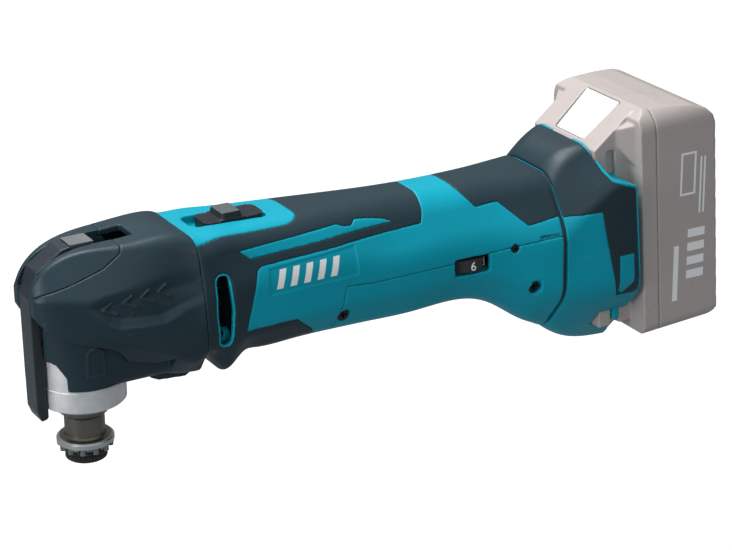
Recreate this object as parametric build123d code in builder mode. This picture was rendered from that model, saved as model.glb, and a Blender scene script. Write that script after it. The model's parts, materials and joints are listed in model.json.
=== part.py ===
from build123d import *

import os
from math import cos, radians, sin, tan

os.makedirs("parts", exist_ok=True)

# Cordless oscillating multi-tool, in millimetres.
# The origin is the middle of the accessory seat: the underside of the spindle flange.
# +X runs back along the body to the battery, +Z runs up the spindle, accessories mount from below.

# ---------------------------------------------------------------- driving dimensions
MOTOR_Z = 63.0          # height of the motor axis
ARM = 30.0              # spindle axis to the eccentric
SWING = 1.6             # the spindle swings this far to each side, degrees
THROW = ARM * tan(radians(SWING))
HEAD_BACK = 48.0        # joint between the head and the handle
HANDLE_BACK = 234.0     # rear end of the handle casing
WALL = 3.0              # casing wall
SKIN = 1.3              # depth of the soft overmould
SEAM = 0.15             # half gap left at a moulded seam
FIT = 0.05              # radial running clearance of shafts
SPINDLE_R = 9.5
COLLAR_R = 19.8
PIN_COUNT, PIN_CIRCLE_R, PIN_R = 12, 11.1, 1.35     # drive pins of the accessory seat
PIVOT = (2.0, 86.0)     # clamp lever pivot, x and z
CAM_R = 7.0
CAM_OFFSET = 1.6
PIVOT_R = 2.5
STRAP_HALF = 6.2        # half width of the clamp lever
PACK_TILT = 3.3         # the battery leans towards the head, degrees
PACK_FRONT, PACK_RIM, PACK_PARTING, PACK_REAR = 262.5, 281.6, 290.5, 325.5
PACK_HALF = 37.5
PACK_BASE, PACK_TOP = -15.0, 101.4
RAIL_HALF = 26.0        # half width of the battery's sliding block
LEAD_R = 1.1

BASE = (Align.CENTER, Align.CENTER, Align.MIN)
PACK = Plane(origin=(0, 0, 0), x_dir=(cos(radians(PACK_TILT)), 0, sin(radians(PACK_TILT))),
             z_dir=(-sin(radians(PACK_TILT)), 0, cos(radians(PACK_TILT))))
PACK_SIDE = Plane(origin=(0, 0, 0), x_dir=PACK.x_dir, z_dir=(0, -1, 0))
PACK_FACE = Plane(origin=(0, 0, 0), x_dir=(0, 1, 0), z_dir=PACK.x_dir)

# Each casing section: x, then half width and height of the top, side, low and base corners,
# then the four corner radii.
HANDLE = (
    (HEAD_BACK, (24, 95), (31.5, 68), (33, 47), (22, 31), (9, 50, 14, 9)),
    (58, (23.7, 94.7), (31.3, 69), (32.6, 47.6), (22, 29.9), (10, 40, 14, 9)),
    (65.5, (23, 94.4), (31, 70.5), (32, 48.4), (22, 31), (10, 32, 14, 9)),
    (70, (22.5, 94.2), (30.8, 71.5), (31.6, 49), (22, 35.3), (11, 28, 14, 9)),
    (77, (21.6, 93.9), (30.6, 72), (31.3, 49.3), (21.8, 35.7), (12, 26, 15, 9)),
    (95, (19.6, 93.1), (30.1, 72.5), (30.6, 49.6), (21.4, 35.4), (13, 24, 15, 10)),
    (120, (17, 92.2), (29.4, 72), (29.8, 50), (21, 35), (15, 24, 16, 11)),
    (137, (15.8, 91.7), (29.2, 67), (29.5, 50), (21, 34.6), (16, 24, 16, 11)),
    (160, (14.5, 91), (29, 66), (29.3, 50), (21, 34), (18, 26, 16, 12)),
    (195, (14.5, 90.5), (29.3, 66), (29.6, 48), (21, 33), (18, 30, 16, 12)),
    (206, (15, 90.4), (30.5, 66), (30.8, 45), (21, 28), (18, 30, 16, 12)),
    (216, (16, 90.3), (32.5, 66), (32.8, 40), (21, 21), (18, 30, 17, 12)),
    (225, (17, 90.3), (34.5, 66), (34.8, 36), (20, 15), (18, 28, 18, 13)),
    (HANDLE_BACK, (18.5, 90.3), (36.3, 65), (36.3, 33), (18, 10), (18, 26, 20, 14)),
)
HEAD = (
    (-25, (8, 81), (11.5, 77), (11.5, 60), (9, 52), (2, 2, 3, 3)),
    (-20, (9.6, 88.4), (16.8, 78), (17.5, 58), (12, 47), (2.5, 5, 6, 5)),
    (-9, (11.4, 94.8), (22.3, 78), (24, 56), (15, 43), (2.5, 10, 10, 7)),
    (5, (14.6, 96.8), (26.8, 78), (28.5, 56), (18, 40), (3.5, 16, 12, 8)),
    (20, (18, 97.2), (29.4, 76), (31.5, 54), (20, 36), (6, 26, 13, 9)),
    (HEAD_BACK, (24, 95), (31.5, 68), (33, 47), (22, 31), (9, 50, 14, 9)),
)
HOLDER = (
    (236.5, (18, 90), (35.8, 66), (36.3, 33), (18, 9), (17, 26, 20, 14)),
    (246, (18, 98), (36.2, 74), (38, 31), (15, 2), (12, 20, 22, 12)),
    (256, (20, 101), (38, 82), (39.3, 30), (11, -3), (10, 12, 22, 10)),
    (280, (22, 103), (39.5, 84), (39.5, 29), (6, -8), (10, 8, 22, 8)),
)


def casing(sections, inset=0.0):
    """Smooth solid through the sections, each outline drawn in by inset."""
    with BuildPart() as shape:
        for x, top, side, low, base, radii in sections:
            right = [top, side, low, base]
            left = [(-half, z) for half, z in reversed(right)]
            with BuildSketch(Plane.YZ.offset(x)):
                with BuildLine():
                    Polyline(*right, *left, close=True)
                make_face()
                for (half, z), radius in zip(right, radii):
                    corners = [v for v in vertices()
                               if abs(abs(v.X) - half) < 0.01 and abs(v.Y - z) < 0.01]
                    fillet(corners, radius)
                if inset:
                    offset(amount=-inset)
        loft()
    return shape.part


def side_prism(points, half=60.0, gap=0.0, rounding=0.0):
    """Prism across the tool from a side outline, its corners rounded, then grown by gap."""
    with BuildPart() as prism:
        with BuildSketch(Plane.XZ):
            with BuildLine():
                Polyline(*points, close=True)
            make_face()
            if rounding:
                fillet(vertices(), rounding)
            if gap:
                offset(amount=gap, kind=Kind.INTERSECTION)
        extrude(amount=half, both=True)
    return prism.part


def tube(plane, outer, inner, length):
    """Plain ring standing on the plane."""
    with BuildPart(plane) as ring:
        Cylinder(outer, length, align=BASE)
        if inner:
            Cylinder(inner, length, align=BASE, mode=Mode.SUBTRACT)
    return ring


def ball_bearing(plane, bore, outer, width):
    """Shielded ball bearing standing on the plane: races with a recessed shield between them."""
    race = 0.28 * (outer - bore)
    with BuildPart() as unit:
        with BuildSketch(plane):
            Circle(outer)
            Circle(bore, mode=Mode.SUBTRACT)
        extrude(amount=width)
        with BuildSketch(plane, plane.offset(width - 0.5)):
            Circle(outer - race)
            Circle(bore + race, mode=Mode.SUBTRACT)
        extrude(amount=0.5, mode=Mode.SUBTRACT)
    return unit


def coil(plane, radius, wire, height, turns):
    """Compression spring standing on the plane."""
    with BuildPart() as spring:
        with BuildLine(plane.offset(wire)) as path:
            Helix(pitch=(height - 2 * wire) / turns, height=height - 2 * wire, radius=radius)
        with BuildSketch(Plane(path.line @ 0, z_dir=path.line % 0)):
            Circle(wire)
        sweep(path=path.line)
    return spring


def screws(places, direction, length, shank, head, head_length):
    """Group of cross-recess screws, each with its head's outer face at its place."""
    with BuildPart() as group:
        for place in places:
            plane = Plane(origin=place, z_dir=direction)
            with BuildSketch(plane):
                Circle(head)
            extrude(amount=head_length)
            with BuildSketch(plane.offset(head_length)):
                Circle(shank)
            extrude(amount=length)
            with BuildSketch(plane):
                Rectangle(head * 1.2, head * 0.28)
                Rectangle(head * 0.28, head * 1.2)
            extrude(amount=head_length * 0.6, mode=Mode.SUBTRACT)
    return group


def side_screws(places, length, shank, head, head_length):
    """Screws driven in from both sides of the tool, heads at the given places."""
    with BuildPart() as group:
        for x, y, z in places:
            for side in (-1, 1):
                with BuildSketch(Plane.XZ.offset(side * y)):
                    with Locations((x, z)):
                        Circle(head)
                extrude(amount=-side * head_length)
                with BuildSketch(Plane.XZ.offset(side * y)):
                    with Locations((x, z)):
                        Circle(shank)
                extrude(amount=-side * (head_length + length))
                with BuildSketch(Plane.XZ.offset(side * y)):
                    with Locations((x, z)):
                        Rectangle(head * 1.2, head * 0.28)
                        Rectangle(head * 0.28, head * 1.2)
                extrude(amount=-side * head_length * 0.6, mode=Mode.SUBTRACT)
    return group


def leads(routes, radius):
    """Round wires along the routes, each route run once on either side of the middle plane."""
    with BuildPart() as wires:
        for route in routes:
            for side in (-1, 1):
                with BuildLine() as path:
                    Spline(*[(x, side * y, z) for x, y, z in route])
                with BuildSketch(Plane(path.line @ 0, z_dir=path.line % 0)):
                    Circle(radius)
                sweep(path=path.line)
    return wires


def lever_slot(gap):
    """Space in which the clamp lever sits and swings."""
    with BuildPart() as slot:
        with BuildSketch(Plane.XZ):
            with BuildLine():
                Polyline((-40, 0), (-19.9, 0), (-19.9, 77.2), (15.4, 77.2), (15.4, 88.5), (25, 90.5),
                         (25, 120), (-40, 120), close=True)
            make_face()
        extrude(amount=STRAP_HALF + gap, both=True)
    return slot.part


def on_shaft(x, side=0.0):
    """Plane across the motor axis at x, shifted sideways by side."""
    return Plane(origin=(x, side, MOTOR_Z), x_dir=(0, 1, 0), z_dir=(1, 0, 0))


def pack_box(v_from, v_to, half, u_from, u_to):
    """Block in the battery's own axes: depth, half width and height."""
    with BuildPart() as block:
        with BuildSketch(PACK_FACE.offset(v_from)):
            with Locations((0, (u_from + u_to) / 2)):
                Rectangle(2 * half, u_to - u_from)
        extrude(amount=v_to - v_from)
    return block.part


def pack_shell(v_from, v_to, inset, profile):
    """Block of the pack's rounded face outline, trimmed by a side profile (depth, height)."""
    with BuildPart() as shell:
        with BuildSketch(PACK_FACE.offset(v_from)):
            with Locations((0, (PACK_BASE + PACK_TOP) / 2)):
                Rectangle(2 * (PACK_HALF - inset), PACK_TOP - PACK_BASE - 2 * inset)
            fillet(vertices().group_by(Axis.Y)[-1], 11 - inset)
            fillet(vertices().group_by(Axis.Y)[0], 6 - inset)
        extrude(amount=v_to - v_from)
        with BuildSketch(PACK_SIDE):
            with BuildLine():
                Polyline(*profile, close=True)
            make_face()
        extrude(amount=50, both=True, mode=Mode.INTERSECT)
    return shell.part


PIECES = {}

# ================================================================ casing solids
handle_outer = casing(HANDLE)
handle_core = casing(HANDLE, SKIN)
handle_cavity = casing(HANDLE, WALL)
head_outer = casing(HEAD)
head_cavity = casing(HEAD[1:], WALL)
holder_outer = casing(HOLDER)

# ---------------------------------------------------------------- outlines seen from the side (x, z)
COVER_ZONE = [(113, 20), (115.5, 40), (120, 60), (134, 58.6), (177, 58.6), (HANDLE_BACK + 1, 63.5),
              (HANDLE_BACK + 1, 0), (113, 0)]
FRONT_SOFT_ZONE = [(40, 110), (168.3, 110), (168, 91), (166.3, 84), (164, 79.3), (77.5, 78.2), (75, 76.5),
                   (67.6, 50), (93.5, 50), (104, 41), (112, 20), (40, 20)]
BLADE_ZONE = [(67.6, 86.4), (72.8, 82.1), (149.7, 82.8), (144.9, 84.7), (137.5, 86.2), (130.4, 87.2),
              (127.8, 85.3), (123.9, 85.6), (120, 87.1)]
REAR_SOFT_ZONE = [(186.5, 100), (187.5, 90), (194.3, 81.2), (206.3, 81.8), (218.2, 70.1),
                  (HANDLE_BACK + 2, 72.6), (HANDLE_BACK + 2, 100)]
HEAD_COVER_ZONE = [(-30, 70), (-25, 69.5), (-21.5, 64), (-10, 58), (3.5, 54.4), (8, 51.6), (13, 45),
                   (25, 42.5), (36, 44.5), (HEAD_BACK - SEAM, 46), (HEAD_BACK - SEAM, 110), (-30, 110)]
CHEEK_ZONE = [(-30, 78), (-24.5, 78.7), (-22, 80.2), (-8.4, 84.5), (5, 89.2), (13.5, 94.1), (15, 97),
              (15, 110), (-30, 110)]
RIM_ZONE = [(256.5, 110), (256.5, 101), (258, 96.5), (259.6, 91), (262, 87), (273.2, 82.8), (277.5, 28),
            (278.8, -12), (230, -12), (230, 110)]
HOLDER_SOFT_ZONE = [(230, 71), (254.8, 72.5), (257, 60), (262, 36), (266.5, 20), (280, 31), (280, 110),
                    (230, 110)]
PLATE_ZONE = [(264.2, 48.5), (264.8, 30), (266.8, 28.2), (273.4, 34), (272.6, 48.5)]

with BuildPart() as switch_panel_zone:
    with BuildSketch(Plane.XY.offset(80)):
        with BuildLine():
            Polyline((HEAD_BACK - 5, 24), (60, 21), (104.3, 17), (104.3, -17), (60, -21),
                     (HEAD_BACK - 5, -24), close=True)
        make_face()
        fillet([v for v in vertices() if v.X > 100], 11)
    extrude(amount=30)

VENT = [(54.6, 45.4), (59.6, 45.4), (61.4, 61), (60.4, 78), (54.6, 78), (53.7, 61)]
vent_cut = side_prism(VENT, rounding=2.6)
vent_rim = side_prism(VENT, rounding=2.6, gap=0.9)

# ---------------------------------------------------------------- screw positions
HEAD_SCREW_GRID = [(y, z) for y in (-20, 20) for z in (46, 82)]
HOLDER_SCREW_GRID = [(y, z) for y in (-19, 19) for z in (38, 72)]
COVER_SCREW_PLACES = [(220.5, 28.2, 39), (119.5, 23.6, 45)]
SEAM_SCREW = (210, 60.6)

# ================================================================ handle casing
with BuildPart() as casing_body:
    add(handle_outer)
    add(handle_cavity, mode=Mode.SUBTRACT)

RIBS = ((HEAD_BACK + 0.1, 2.9, 22.5), (70, 2, 21.05), (116, 2, 21.05), (229, 3, 15))
with BuildPart() as casing_ribs:
    for x, thickness, opening in RIBS:
        with BuildSketch(Plane.YZ.offset(x)):
            with Locations((0, 60)):
                Rectangle(90, 120)
            with Locations((0, MOTOR_Z)):
                Circle(opening, mode=Mode.SUBTRACT)
        extrude(amount=thickness)
    with BuildSketch(Plane.YZ.offset(HEAD_BACK + 0.1)):
        with Locations(*HEAD_SCREW_GRID):
            Circle(3.6)
    extrude(amount=15)
    with BuildSketch(Plane.XY.offset(88.4)):
        with Locations((73, 0)):
            Rectangle(44, 19)
    extrude(amount=5)
    add(handle_cavity, mode=Mode.INTERSECT)


with BuildPart() as casing_full:
    add(casing_body.part)
    add(casing_ribs.part)
    # switch recess, its stem slot and the channel of the switch link
    with BuildSketch(Plane.XY.offset(90.4)):
        with Locations((73, 0)):
            RectangleRounded(38, 15.4, 4)
    extrude(amount=10, mode=Mode.SUBTRACT)
    with BuildSketch(Plane.XY.offset(84)):
        with Locations((74.4, 0)):
            Rectangle(21.6, 5.4)
    extrude(amount=10, mode=Mode.SUBTRACT)
    with BuildSketch(Plane.YZ.offset(60)):
        with Locations((0, 86.2)):
            Rectangle(10, 4.4)
    extrude(amount=80, mode=Mode.SUBTRACT)
    # speed dial window on the near side
    with BuildSketch(Plane.XZ.offset(22)):
        with Locations((187.5, 56)):
            RectangleRounded(19, 8.6, 1)
    extrude(amount=20, mode=Mode.SUBTRACT)
    add(vent_cut, mode=Mode.SUBTRACT)
    # bosses and sunk heads of the cover screws
    for x, seat, z in COVER_SCREW_PLACES:
        for side in (-1, 1):
            for radius, start, depth, mode in ((4.2, seat - 6.5, 8, Mode.ADD),
                                               (1.55, seat - 10, 12, Mode.SUBTRACT),
                                               (3.1, seat, 14, Mode.SUBTRACT)):
                with BuildSketch(Plane.XZ.offset(side * start)):
                    with Locations((x, z)):
                        Circle(radius)
                extrude(amount=side * depth, mode=mode)
    # pilot holes of the head and holder screws
    with BuildSketch(Plane.YZ.offset(HEAD_BACK - 1)):
        with Locations(*HEAD_SCREW_GRID):
            Circle(1.9)
    extrude(amount=17, mode=Mode.SUBTRACT)
    with BuildSketch(Plane.YZ.offset(220)):
        with Locations(*HOLDER_SCREW_GRID):
            Circle(1.9)
    extrude(amount=15, mode=Mode.SUBTRACT)
    for side in (-1, 1):
        with BuildSketch(Plane.XZ.offset(side * 23)):
            with Locations(SEAM_SCREW):
                Circle(2.0)
        extrude(amount=side * 17, mode=Mode.SUBTRACT)

front_soft_zone = side_prism(FRONT_SOFT_ZONE)
blade_zone = side_prism(BLADE_ZONE)
rear_soft_zone = side_prism(REAR_SOFT_ZONE)
cover_zone = side_prism(COVER_ZONE)

with BuildPart() as skin:
    add(handle_outer)
    add(handle_core, mode=Mode.SUBTRACT)

with BuildPart() as front_grip:
    add(skin.part)
    add(front_soft_zone, mode=Mode.INTERSECT)
    add(blade_zone, mode=Mode.SUBTRACT)
    add(switch_panel_zone.part, mode=Mode.SUBTRACT)
    add(vent_rim, mode=Mode.SUBTRACT)
PIECES["front_grip"] = front_grip

with BuildPart() as rear_grip:
    add(skin.part)
    add(rear_soft_zone, mode=Mode.INTERSECT)
PIECES["rear_grip"] = rear_grip

with BuildPart() as upper_housing:
    add(casing_full.part)
    add(side_prism(COVER_ZONE, gap=SEAM), mode=Mode.SUBTRACT)
    add(front_grip.part, mode=Mode.SUBTRACT)
    add(rear_grip.part, mode=Mode.SUBTRACT)
PIECES["upper_housing"] = upper_housing

with BuildPart() as lower_cover:
    add(casing_full.part)
    add(cover_zone, mode=Mode.INTERSECT)
PIECES["lower_cover"] = lower_cover


PIECES["seam_screws"] = side_screws([(SEAM_SCREW[0], 31.0, SEAM_SCREW[1])], 5, 1.2, 1.9, 1.6)
PIECES["cover_screws"] = side_screws([(x, seat + 2.2, z) for x, seat, z in COVER_SCREW_PLACES],
                                     8, 1.5, 2.9, 2.2)

# ================================================================ head

slot_space = lever_slot(0.6)

with BuildPart() as gear_housing:
    with BuildSketch(Plane.XY.offset(32)):
        Circle(19.5)
    extrude(amount=45)
    with BuildSketch(Plane.XY.offset(22)):
        Circle(COLLAR_R)
    extrude(amount=10)
    with BuildSketch(Plane.YZ):
        with Locations((0, MOTOR_Z)):
            Circle(18.6)
    extrude(amount=HEAD_BACK - 1)
    with BuildSketch(Plane.YZ.offset(42.5)):
        with Locations((0, 64)):
            RectangleRounded(47, 43, 5)
    extrude(amount=4.5)
    add(slot_space, mode=Mode.SUBTRACT)
    for z, radius, depth in ((21.5, 12.6, 2), (23.5, 15, 9.2), (32.7, 15.9, 37.3), (70, 14, 6),
                             (75, 6.5, 5)):
        with BuildSketch(Plane.XY.offset(z)):
            Circle(radius)
        extrude(amount=depth, mode=Mode.SUBTRACT)
    for x, radius, depth in ((0, 14.8, 41), (41, 9.5, 8)):
        with BuildSketch(Plane.YZ.offset(x)):
            with Locations((0, MOTOR_Z)):
                Circle(radius)
        extrude(amount=depth, mode=Mode.SUBTRACT)
    with BuildSketch(Plane.YZ.offset(42)):
        with Locations(*HEAD_SCREW_GRID):
            Circle(2.0)
    extrude(amount=6, mode=Mode.SUBTRACT)
    chamfer(gear_housing.edges().filter_by(GeomType.CIRCLE).group_by(Axis.Z)[0], 0.8)
PIECES["gear_housing"] = gear_housing

PIECES["head_screws"] = screws([(38, y, z) for y, z in HEAD_SCREW_GRID], (1, 0, 0), 20.5, 1.85, 3.5, 4.4)

with BuildPart() as housing_space:
    with BuildSketch(Plane.XY.offset(20)):
        Circle(COLLAR_R + 0.2)
    extrude(amount=57.2)
    with BuildSketch(Plane.YZ):
        with Locations((0, MOTOR_Z)):
            Circle(18.8)
    extrude(amount=HEAD_BACK)
    with BuildSketch(Plane.YZ.offset(37.5)):
        with Locations((0, 64)):
            RectangleRounded(48.6, 44.6, 5)
    extrude(amount=12)

with BuildPart() as head_cover:
    add(head_outer)
    add(head_cavity, mode=Mode.SUBTRACT)
    add(side_prism(HEAD_COVER_ZONE), mode=Mode.INTERSECT)
    add(side_prism(CHEEK_ZONE, gap=SEAM), mode=Mode.SUBTRACT)
    add(slot_space, mode=Mode.SUBTRACT)
    add(housing_space.part, mode=Mode.SUBTRACT)
PIECES["head_cover"] = head_cover

with BuildPart() as bracket_core:
    add(casing(HEAD[1:], WALL + 0.2))
    add(side_prism([(-21, 96), (-21, 77.4), (20, 77.4), (20, 88), (15, 96)]), mode=Mode.INTERSECT)

with BuildPart() as lever_bracket:
    add(head_outer)
    add(side_prism(CHEEK_ZONE), mode=Mode.INTERSECT)
    add(bracket_core.part)
    add(slot_space, mode=Mode.SUBTRACT)
    add(housing_space.part, mode=Mode.SUBTRACT)
    with BuildSketch(Plane.XZ):
        with Locations(PIVOT):
            Circle(PIVOT_R)
    extrude(amount=15, both=True, mode=Mode.SUBTRACT)
PIECES["lever_bracket"] = lever_bracket

PIECES["lever_pin"] = tube(Plane(origin=(PIVOT[0], 15, PIVOT[1]), z_dir=(0, -1, 0)), PIVOT_R, 0, 30)

LED_PLANE = Plane(origin=(26.8, 0, 34.5), z_dir=(-cos(radians(17)), 0, -sin(radians(17))))

with BuildPart() as skirt_back:
    add(head_outer)
    add(side_prism([(33.5, 20), (HEAD_BACK - SEAM, 20), (HEAD_BACK - SEAM, 60), (33.5, 60)]),
        mode=Mode.INTERSECT)

with BuildPart() as head_skirt:
    with BuildSketch(Plane.XY.offset(33.6)):
        Circle(21.5)
    extrude(amount=32)
    with BuildSketch(Plane.YZ):
        with Locations((0, 48.8)):
            Rectangle(43, 33.6)
        fillet(vertices().group_by(Axis.Y)[0], 7)
    extrude(amount=HEAD_BACK - SEAM)
    add(skirt_back.part)
    with BuildSketch(Plane.XZ):
        with BuildLine():
            Polyline((24, 40), (27, 30.5), (31, 28.6), (44, 27.6), (HEAD_BACK - SEAM, 30),
                     (HEAD_BACK - SEAM, 40), close=True)
        make_face()
    extrude(amount=15, both=True)
    with BuildSketch(Plane.XZ):
        with BuildLine():
            Polyline((-30, 20), (-12.5, 20), (-13.5, 40), (-17, 46), (-30, 50), close=True)
        make_face()
    extrude(amount=30, both=True, mode=Mode.SUBTRACT)
    with BuildSketch(Plane.YZ.offset(8)):
        with Locations((0, 52)):
            RectangleRounded(37, 34, 6)
    extrude(amount=40, mode=Mode.SUBTRACT)
    with BuildSketch(Plane.XZ):
        with BuildLine():
            Polyline((26, 46), (29, 32.5), (33, 31), (46, 31), (46, 46), close=True)
        make_face()
    extrude(amount=12.5, both=True, mode=Mode.SUBTRACT)
    add(housing_space.part, mode=Mode.SUBTRACT)
    add(slot_space, mode=Mode.SUBTRACT)
    add(side_prism([(-30, 68), (60, 68), (60, 61), (24, 61), (10, 62), (-30, 62)]), mode=Mode.SUBTRACT)
    add(side_prism([(-30, 20), (-18.7, 20), (-18.7, 77), (-30, 77)], half=STRAP_HALF + 0.6), mode=Mode.SUBTRACT)
    add(head_cover.part, mode=Mode.SUBTRACT)
    with BuildSketch(LED_PLANE.offset(-6)):
        Circle(3.0)
    extrude(amount=10, mode=Mode.SUBTRACT)
PIECES["head_skirt"] = head_skirt

with BuildPart() as led_lens:
    with BuildSketch(LED_PLANE.offset(-2.2)):
        Circle(2.95)
    extrude(amount=2.6)
    fillet(led_lens.edges().filter_by(GeomType.CIRCLE).sort_by(Axis.X)[0], 0.6)
PIECES["led_lens"] = led_lens

with BuildPart() as led_board:
    with BuildSketch(LED_PLANE.offset(-3.9)):
        Rectangle(2.8, 14)
    extrude(amount=1.2)
PIECES["led_board"] = led_board

# ---------------------------------------------------------------- clamp lever
LEVER_BACK = [(-24.8, 76), (-23, 82), (-20.6, 88), (-8.6, 96.2), (-4.4, 97)]
LEVER_FRONT = [(-4.4, 91), (-12, 89.5), (-17.5, 83), (-20.3, 75), (-20.3, 53), (-19.2, 51.5), (-19.9, 27),
               (-17.8, 24), (-18, 20.5), (-20, 17.8), (-22.6, 17.3), (-24.4, 22)]
with BuildPart() as lever:
    with BuildSketch(Plane.XZ):
        with BuildLine():
            Polyline(*LEVER_BACK, *LEVER_FRONT, close=True)
        make_face()
    extrude(amount=STRAP_HALF, both=True)
    add(side_prism([(-21, 48), (-17, 48), (-17, 60), (-21, 60)], half=3), mode=Mode.SUBTRACT)
    with BuildSketch(Plane.XY):
        Circle(20.1)
    extrude(amount=80, mode=Mode.SUBTRACT)
PIECES["lever"] = lever

CAM_CENTRE = (PIVOT[0] + CAM_OFFSET * cos(radians(50)), PIVOT[1] + CAM_OFFSET * sin(radians(50)))
with BuildPart() as lever_cam:
    with BuildSketch(Plane.XZ):
        with Locations(CAM_CENTRE):
            Circle(CAM_R)
        with BuildLine():
            Polyline((-4.2, 97.4), (7, 97.4), (8.6, 93), (8.6, 86), (-4, 82), (-11.5, 84.5), (-15.5, 83.8),
                     (-11.6, 89.2), (-4.2, 90.8), close=True)
        make_face()
        with Locations(PIVOT):
            Circle(PIVOT_R + FIT, mode=Mode.SUBTRACT)
    extrude(amount=5.4, both=True)
PIECES["lever_cam"] = lever_cam

# ================================================================ spindle group
with BuildPart() as spindle:
    with BuildSketch(Plane.XZ):
        with BuildLine():
            Polyline((0, 0), (12.4, 0), (13.1, 0.7), (13.1, 3.2), (12.3, 4), (9.9, 4.6), (9.2, 5.4),
                     (9.2, 14.4), (9.9, 15.2), (11.4, 16.4), (12.3, 18.2), (12.3, 21.6),
                     (SPINDLE_R, 21.6), (SPINDLE_R, 70.2), (8, 70.2), (8, 75.8), (0, 75.8), close=True)
        make_face()
    revolve(axis=Axis.Z)
    for z, radius, depth in ((-1, 5.0, 8), (6, 6.4, 40), (38, 7.6, 31), (60, 5.6, 20)):
        with BuildSketch(Plane.XY.offset(z)):
            Circle(radius)
        extrude(amount=depth, mode=Mode.SUBTRACT)
    # scalloped rim of the seat, and its twelve drive pins
    with BuildSketch(Plane.XY.offset(-0.5)):
        with PolarLocations(12.4, PIN_COUNT):
            Circle(1.75)
    extrude(amount=1.9, mode=Mode.SUBTRACT)
    with BuildSketch(Plane.XY.offset(-1.8)):
        with PolarLocations(PIN_CIRCLE_R, PIN_COUNT):
            Circle(PIN_R)
    extrude(amount=3.6)
PIECES["spindle"] = spindle

PIECES["spindle_bush"] = tube(Plane.XY.offset(69), 5.6, 3.9 + FIT, 6.8)
PIECES["spindle_bearing_lower"] = ball_bearing(Plane.XY.offset(23.5), SPINDLE_R + FIT, 15, 9)
PIECES["spindle_bearing_upper"] = ball_bearing(Plane.XY.offset(70.3), 8 + FIT, 14, 5.5)
PIECES["spindle_seal"] = tube(Plane.XY.offset(22.1), 12.5, SPINDLE_R + FIT, 1.3)

with BuildPart() as clamp_jaws:
    with BuildSketch(Plane.XY.offset(8)):
        Circle(6.2)
        Circle(4.15, mode=Mode.SUBTRACT)
        with PolarLocations(0, 3):
            with Locations((5, 0)):
                Rectangle(6, 1.2, mode=Mode.SUBTRACT)
    extrude(amount=12)
PIECES["clamp_jaws"] = clamp_jaws

with BuildPart() as clamp_sleeve:
    with BuildSketch(Plane.XZ):
        with BuildLine():
            Polyline((0, 31.5), (4.4, 31.5), (4.4, 26), (6.2, 26), (6.2, 34), (3.9, 35.5), (3.9, 62),
                     (7.4, 62), (7.4, 65.4), (3.9, 65.4), (3.9, 79.9), (0, 79.9), close=True)
        make_face()
    revolve(axis=Axis.Z)
PIECES["clamp_sleeve"] = clamp_sleeve
PIECES["clamp_spring"] = coil(Plane.XY.offset(38.05), 6.95, 0.45, 23.8, 5)

with BuildPart() as holder_bolt:
    with BuildSketch(Plane.XZ):
        with BuildLine():
            Polyline((0, -7.1), (8.8, -7.1), (9.6, -6.4), (9.6, -2.6), (9.0, -1.9), (3.9, -1.9),
                     (3.9, 9), (3.5, 9.5), (3.5, 15.5), (3.9, 16), (3.9, 22.6), (2.8, 23.8), (0, 23.8), close=True)
        make_face()
    revolve(axis=Axis.Z)
    with BuildSketch(Plane.XY.offset(-7.1)):
        RegularPolygon(2.9, 6)
    extrude(amount=3.5, mode=Mode.SUBTRACT)
    with BuildSketch(Plane.XY.offset(-6.4)):
        with PolarLocations(9.75, 40):
            Circle(0.38)
    extrude(amount=3.8, mode=Mode.SUBTRACT)
PIECES["holder_bolt"] = holder_bolt

with BuildPart() as swing_fork:
    with BuildSketch(Plane.XY.offset(56.5)):
        Circle(13.6)
        Circle(SPINDLE_R, mode=Mode.SUBTRACT)
    extrude(amount=13)
    with BuildSketch(Plane.XY.offset(57.5)):
        with Locations((22, 11.0), (22, -11.0)):
            Rectangle(25, 3.2)
        with Locations((12, 0)):
            Rectangle(4, 24)
        Circle(SPINDLE_R + 1, mode=Mode.SUBTRACT)
    extrude(amount=11)
    fillet(swing_fork.edges().filter_by(Axis.Z).sort_by(Axis.X)[-4:], 1.0)
PIECES["swing_fork"] = swing_fork

# ================================================================ motor

with BuildPart() as rotor_shaft:
    for x, radius, length, side in ((34.2, 5, 6.4, 0), (40.6, 4, 95.4, 0), (26, 3.4, 8.6, THROW)):
        with BuildSketch(on_shaft(x, side)):
            Circle(radius)
        extrude(amount=length)
PIECES["rotor_shaft"] = rotor_shaft

PIECES["eccentric_bearing"] = ball_bearing(on_shaft(26.5, THROW), 3.4, 7.5, 7)

with BuildPart() as balance_weight:
    with BuildSketch(on_shaft(35)):
        Circle(9.4)
        Circle(5, mode=Mode.SUBTRACT)
        with Locations((8.5, 0)):
            Rectangle(9, 20, mode=Mode.SUBTRACT)
    extrude(amount=4.8)
PIECES["balance_weight"] = balance_weight

PIECES["motor_bearing_front"] = ball_bearing(on_shaft(41.2), 4 + FIT, 9.5, 5.6)

with BuildPart() as fan:
    with BuildSketch(on_shaft(52.6)):
        Circle(20.5)
        Circle(4, mode=Mode.SUBTRACT)
    extrude(amount=1.4)
    with BuildSketch(on_shaft(52.6)):
        Circle(7)
        Circle(4, mode=Mode.SUBTRACT)
    extrude(amount=9)
    with BuildSketch(on_shaft(52.6)):
        with PolarLocations(0, 16):
            with Locations(Location((13.4, 0, 0), (0, 0, 18))):
                Rectangle(13.4, 1.1)
        Circle(4, mode=Mode.SUBTRACT)
    extrude(amount=8.4)
PIECES["fan"] = fan

with BuildPart() as fan_baffle:
    with BuildSketch(on_shaft(63.6)):
        Circle(24.4)
        Circle(12, mode=Mode.SUBTRACT)
    extrude(amount=1.6)
    with BuildSketch(Plane.XY):
        with Locations((60, 0)):
            Rectangle(30, 60)
    extrude(amount=85.8, mode=Mode.INTERSECT)
PIECES["fan_baffle"] = fan_baffle

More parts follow.
